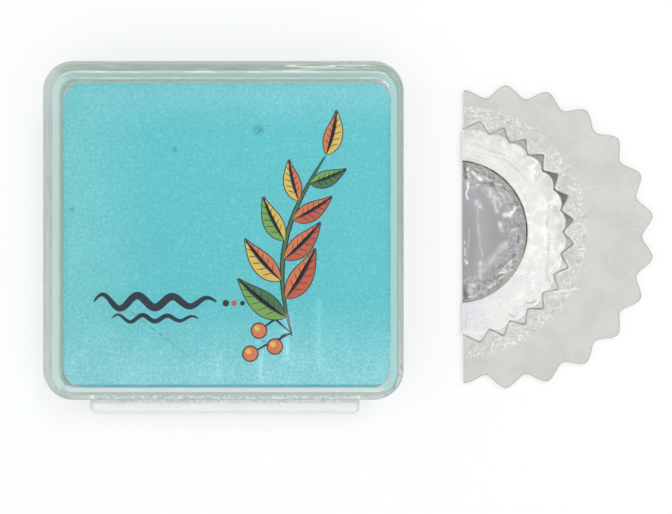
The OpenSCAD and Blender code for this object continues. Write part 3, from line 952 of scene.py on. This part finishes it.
# The film is drawn into folds at a few places round the crown, and crinkled in the window. The
# folds carry painted highlights; in the window the marks below are painted highlights and painted
# shade on the crinkles.
DRAWN = [
    (11.5, -8.6, 16.3, -8.2, 0.13, 0.9), (12.2, -9.3, 15.4, -8.9, 0.09, 0.8),
    (16.0, 5.8, 18.9, 6.5, 0.1, 0.5), (13.4, 8.6, 16.0, 9.6, 0.08, 0.6), (1.2, 16.4, 5.6, 16.0, 0.12, 0.7),
    (2.2, 17.3, 3.9, 17.1, 0.1, 0.7), (14.9, 6.4, 16.4, 5.4, 0.12, 0.8),
    (5.2, -16.1, 7.4, -15.6, 0.14, 0.8)]
WINDOW_HIGHLIGHTS = [
    (2.3, 7.6, 2.7, 7.4, 0.32, 1.0), (1.5, 8.4, 1.8, 8.1, 0.25, 0.7), (1.9, 8.9, 2.6, 8.5, 0.12, 0.8),
    (0.65, 8.9, 0.75, 7.7, 0.12, 0.7), (3.2, 7.9, 4.0, 7.1, 0.2, 0.6), (4.6, 6.9, 5.5, 6.7, 0.14, 0.7),
    (8.15, 3.7, 8.3, 3.4, 0.1, 0.8), (8.3, -1.4, 8.8, -0.7, 0.15, 0.7), (6.4, -4.3, 4.9, -5.9, 0.22, 1.0),
    (6.8, -3.9, 6.7, -4.6, 0.2, 0.9), (6.0, -5.5, 6.9, -5.4, 0.12, 0.8), (4.9, -6.2, 6.8, -5.6, 0.1, 0.8),
    (3.6, -7.8, 6.2, -6.3, 0.1, 0.6), (1.9, -7.1, 1.2, -8.7, 0.4, 0.6), (0.9, -9.25, 2.0, -9.05, 0.12, 1.0),
    (1.6, -6.9, 3.1, -6.6, 0.18, 1.0)]
WINDOW_SHADES = [
    (2.0, 8.7, 5.2, 7.4, 0.15, 0.5), (5.2, 7.3, 7.6, 4.8, 0.15, 0.6), (7.6, 4.8, 8.8, 2.0, 0.13, 0.5),
    (1.0, 7.25, 5.3, 6.6, 0.1, 0.7), (5.3, 6.5, 7.0, 5.2, 0.12, 0.5), (0.3, 9.6, 0.4, 7.6, 0.25, 0.8),
    (7.8, -0.6, 7.75, -1.7, 0.14, 0.8), (7.4, -2.5, 7.1, -3.5, 0.22, 0.7),
    (0.4, -7.6, 0.6, -9.3, 0.35, 0.7), (8.3, 1.8, 8.4, 0.3, 0.16, 0.5), (6.9, 5.6, 8.0, 3.9, 0.2, 0.35)]
drawn, bright, dark = (marks(fx, fy, lines) for lines in (DRAWN, WINDOW_HIGHLIGHTS, WINDOW_SHADES))
# Painted shade along the teeth's flanks, and a painted highlight on the swollen film beyond them.
flank = np.where(across(turn) < 0, per_tooth(FRONT_FLANKS, turn), per_tooth(BACK_FLANKS, turn))
shade = (flank * bell(out, 0.04, 0.14) * step(np.pi / 2 - np.abs(turn), 0.0, 0.06)
         * (0.8 + 0.4 * ripple(fx, fy, 0.6, 45)))
ridge = bell(out, 0.32, 0.1) * step(ripple(fx, fy, 0.7, 44), -0.3, 0.5) * step(fr, 14.2, 14.6)
z = film_top(fx, fy)
z += 0.030 * slow * step(fr, 17.5, 19.5) + 0.03 * wrinkle * bond + 0.05 * drawn + 0.02 * rim_line
z += inside * (0.05 * wrinkle + 0.04 * ripple(fx, fy, 0.5, 43) + 0.03 * bright - 0.04)
z -= 0.09 * np.clip(1 - to_rim / 0.22, 0, 1) ** 2
low_z = np.minimum(np.where(fr < REED_R + 0.1, FILM_LOW, FILM_JOIN), z - 0.04)
front_film = call_sheet(fx, fy, z, low_z)

frosted, node = material("frosted_film")
# Frosted polyester film: milky, with pale specks, painted glints and painted shade in the bond,
# painted shade along its cut edge and the teeth's flanks, and painted highlights on its folds and
# round the teeth. In the window it is clear and crinkled over the dark gap: its tone there is a
# darker grey for the reed and the painted shade seen through it, with painted light and shade on
# the crinkles.
where = own_place(node)
bonded, in_window = field(node, "bond"), field(node, "inside")
cloud = noise(node, where, 4.0, 3.0, 0.6)
grain = noise(node, where, 0.3, 3.0, 0.65)
patch = ease(node, noise(node, where, 1.2, 3.0), 0.35, 0.52)
sparks = ease(node, noise(node, where, 0.4, 4.0, 0.8), 0.51, 0.6)
squiggle = times(node, patch, greater(node, sparks, times(node, creases(node, where, 0.6, 0.03), 0.7)))
# Painted glints in the bond, which also bump it, and painted grey shade between them.
bond_glints = times(node, squiggle, bonded)
bond_shade = times(node, ease(node, noise(node, where, 0.7, 4.0, 0.7), 0.45, 0.62, 0.0, 0.7), bonded)
# Painted highlights on the window's crinkles, over a darker grey for the reed and the shade seen through
# the film.
creased = times(node, creases(node, where, 1.0, 0.05), ease(node, grain, 0.4, 0.6, 0.2, 0.6))
glass = mix(node, ease(node, noise(node, where, 1.1, 4.0, 0.7), 0.38, 0.62), "#8a8880", "#b6b5b0")
glass = mix(node, creased, glass, "#dedddb")
tone = layered(
    node, mix(node, ease(node, cloud, 0.35, 0.65), "#cfcec7", "#d7d6d0"),
    (ease(node, grain, 0.5, 0.75, 0.0, 0.5), "#e9e8e3"),
    (bond_shade, "#bdbcb4"),
    (bond_glints, "#ffffff"),
    (in_window, glass),
    (field(node, "dark"), "#56544e"),
    (field(node, "bright"), "#fcfcfa"),
    (field(node, "rim"), "#a9aaa4"),
    (field(node, "shade"), "#57554e"))
surface(node, node("BsdfPrincipled", {
    "Base Color": tone, "Roughness": ease(node, greater(node, bonded, in_window), 0.0, 1.0, 0.5, 0.2),
    "Normal": bump(node, plus(node, grain, bond_glints), 0.35, 0.04)}))
# Painted shade along the cut edge and the teeth's flanks, painted highlights on folds, the bond's rim, the
# swollen film and the window's crinkles, and painted shade in the window's crinkles.
fields = per_point({
    "bond": bond, "inside": inside, "dark": dark, "rim": 0.75 * (1 - step(to_rim, 0.05, 0.22)),
    "shade": 0.9 * shade,
    "bright": np.clip(drawn * 0.8 + rim_line * 0.3 + ridge * 0.7 + 1.3 * bright * inside, 0, 1)})
for side, sheet in (("front", front_film), ("back", mirrored(front_film))):
    piece(f"skirt_film_{side}", [sheet], [frosted], "call", [f"skirt_{side}"], fields, 60)


# ---- The reed
# A half disc of thin grey latex between the films. It is slack in the window, with soft folds,
# and puckered where the film's edge holds it.
REED_TOP, REED_LOW, REED_IN = 0.535, 0.46, 0.02
w = np.radians(np.linspace(-90, 90, 221))
rr = np.concatenate([np.linspace(0.02, 9.8, 90), np.linspace(9.8, REED_R, 12)[1:]])[:, None]
rx, ry = np.maximum(rr * np.cos(w), SKIRT_GAP * step(rr, 14.5, 15.0)), rr * np.sin(w)
pucker = step(rr, 4.8, 7.4) * (1 - step(rr, 9.4, 9.9))
slack = 1 - step(rr, 8.4, 9.7)
# Painted highlights on the latex's creases, and painted shade in its folds.
REED_HIGHLIGHTS = [
    (2.1, 4.3, 2.6, 3.4, 0.35, 0.4), (5.4, 5.6, 6.4, 4.8, 0.24, 1.0), (6.0, 2.3, 6.8, 2.2, 0.3, 1.0),
    (6.9, 2.6, 7.5, 3.3, 0.22, 0.9), (7.5, 3.3, 7.2, 3.7, 0.15, 0.8), (5.4, 1.3, 5.5, 0.2, 0.28, 0.45),
    (7.3, 0.4, 7.6, 0.4, 0.15, 0.9), (0.68, 7.0, 0.68, 4.9, 0.14, 1.0), (2.1, 6.6, 2.4, 6.6, 0.12, 0.7),
    (0.88, 0.6, 0.9, -3.8, 0.1, 0.3), (0.35, -1.5, 0.35, -1.8, 0.14, 0.9),
    (0.35, -2.5, 0.4, -3.2, 0.15, 0.8), (0.5, -4.2, 0.65, -4.6, 0.16, 1.0),
    (1.1, -7.6, 1.2, -7.6, 0.14, 1.0), (6.0, -1.8, 3.0, -5.4, 0.45, 0.3), (2.1, 3.6, 2.7, -3.4, 0.2, 0.22),
    (2.7, -4.3, 2.6, -6.2, 0.28, 0.35), (3.3, 6.2, 5.4, 4.2, 0.6, 0.3), (4.4, 4.4, 4.9, 3.0, 0.3, 0.35)]
REED_FOLD_SHADES = [
    (5.3, 5.4, 6.4, 3.2, 0.08, 0.6), (1.4, 6.9, 3.4, 6.4, 0.12, 0.5), (6.0, -4.2, 4.5, -5.9, 0.12, 0.8),
    (7.4, 1.8, 7.6, 0.9, 0.2, 0.4)]
pale, folded = np.clip(1.4 * marks(rx, ry, REED_HIGHLIGHTS), 0, 1), marks(rx, ry, REED_FOLD_SHADES)
wave = np.sin(rx * 0.9 + 0.4 * ripple(rx, ry, 4.0, 51))
z = REED_TOP + slack * (0.05 * wave + 0.02 * ripple(rx, ry, 2.2, 52))
z += pucker * slack * (0.07 * (1 - np.abs(ripple(rx, ry, 1.0, 53)) * 2) + 0.03 * ripple(rx, ry, 0.45, 54))
sheet = call_sheet(rx, ry, z, np.minimum(REED_LOW + 0 * z, z - 0.05), REED_IN)

latex, node = material("grey_latex")
# Thin grey latex: smooth and glossy, with soft upright bands of painted reflection, painted
# highlights on its creases, painted shade in its folds, and fine crinkles towards the films drawn
# as pale lines of painted highlight.
where = own_place(node)
# Soft upright bands of painted reflection.
band = noise(node, drawn_out(node, where, 1.0, 0.2, 1.0), 3.2, 1.0)
soft = noise(node, where, 1.2, 3.0, 0.6)
# Pale crinkle lines of painted highlight towards the films.
crinkle = times(node, creases(node, where, 1.0, 0.06), field(node, "pucker"))
tone = layered(
    node, mix(node, ease(node, band, 0.35, 0.68), "#a2a2a4", "#b3b2b5"),
    (times(node, crinkle, 0.5), "#d9d9d9"),
    (field(node, "folded"), "#6d6c6a"),
    (field(node, "pale"), "#fdfdfd"))
surface(node, node("BsdfPrincipled", {
    "Base Color": tone, "Roughness": 0.3, "Normal": bump(node, soft, 0.25, 0.08)}))
piece("reed_latex", [sheet], [latex], "call", ["reed"],
      per_point({"pale": pale, "folded": folded, "pucker": pucker + 0 * rx}), 60)
